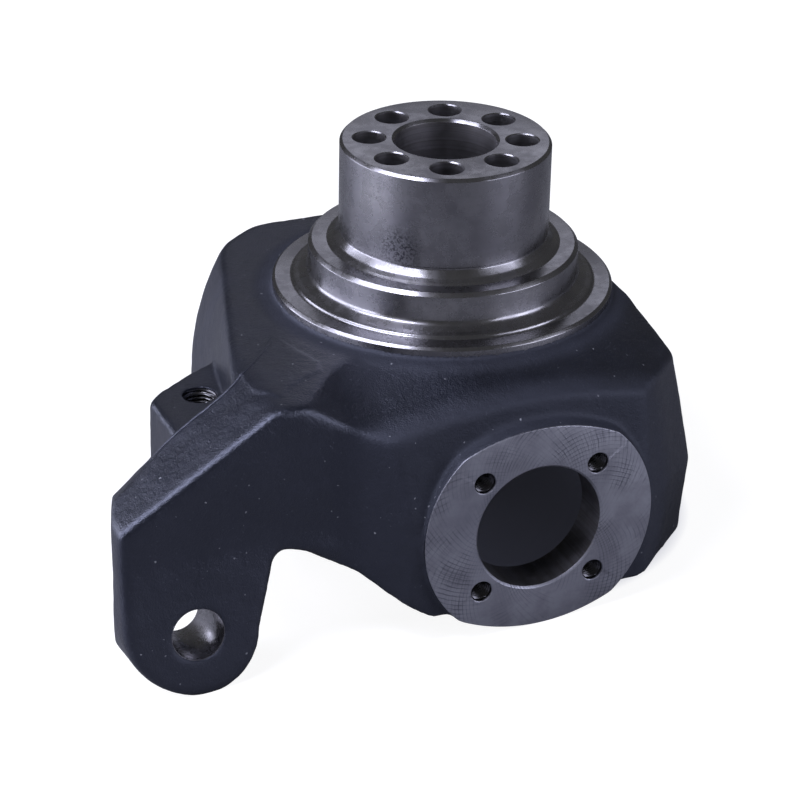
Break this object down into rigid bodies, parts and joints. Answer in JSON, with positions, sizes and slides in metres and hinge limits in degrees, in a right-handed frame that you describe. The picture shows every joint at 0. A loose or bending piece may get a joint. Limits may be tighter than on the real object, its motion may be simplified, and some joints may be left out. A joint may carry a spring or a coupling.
{
  "type": "steering knuckle",
  "caption": "Forged steering knuckle with a hollow spindle, two kingpin ears, a yoke pocket, a cranked steering arm and a stop screw boss.",
  "frame": {"origin": "where the kingpin axis crosses the spindle axis", "axes": "+Z out along the spindle, Y along the kingpin axis with -Y toward the ear beside the steering arm, -X the side that carries the steering arm"},
  "size_m": [0.2923, 0.2368, 0.2145],
  "materials": {
    "forged_steel": "satin black paint over forged skin, machined seats bare"
  },
  "bodies": {
    "root": {"steering_knuckle": "forged_steel"}
  },
  "joints": []
}
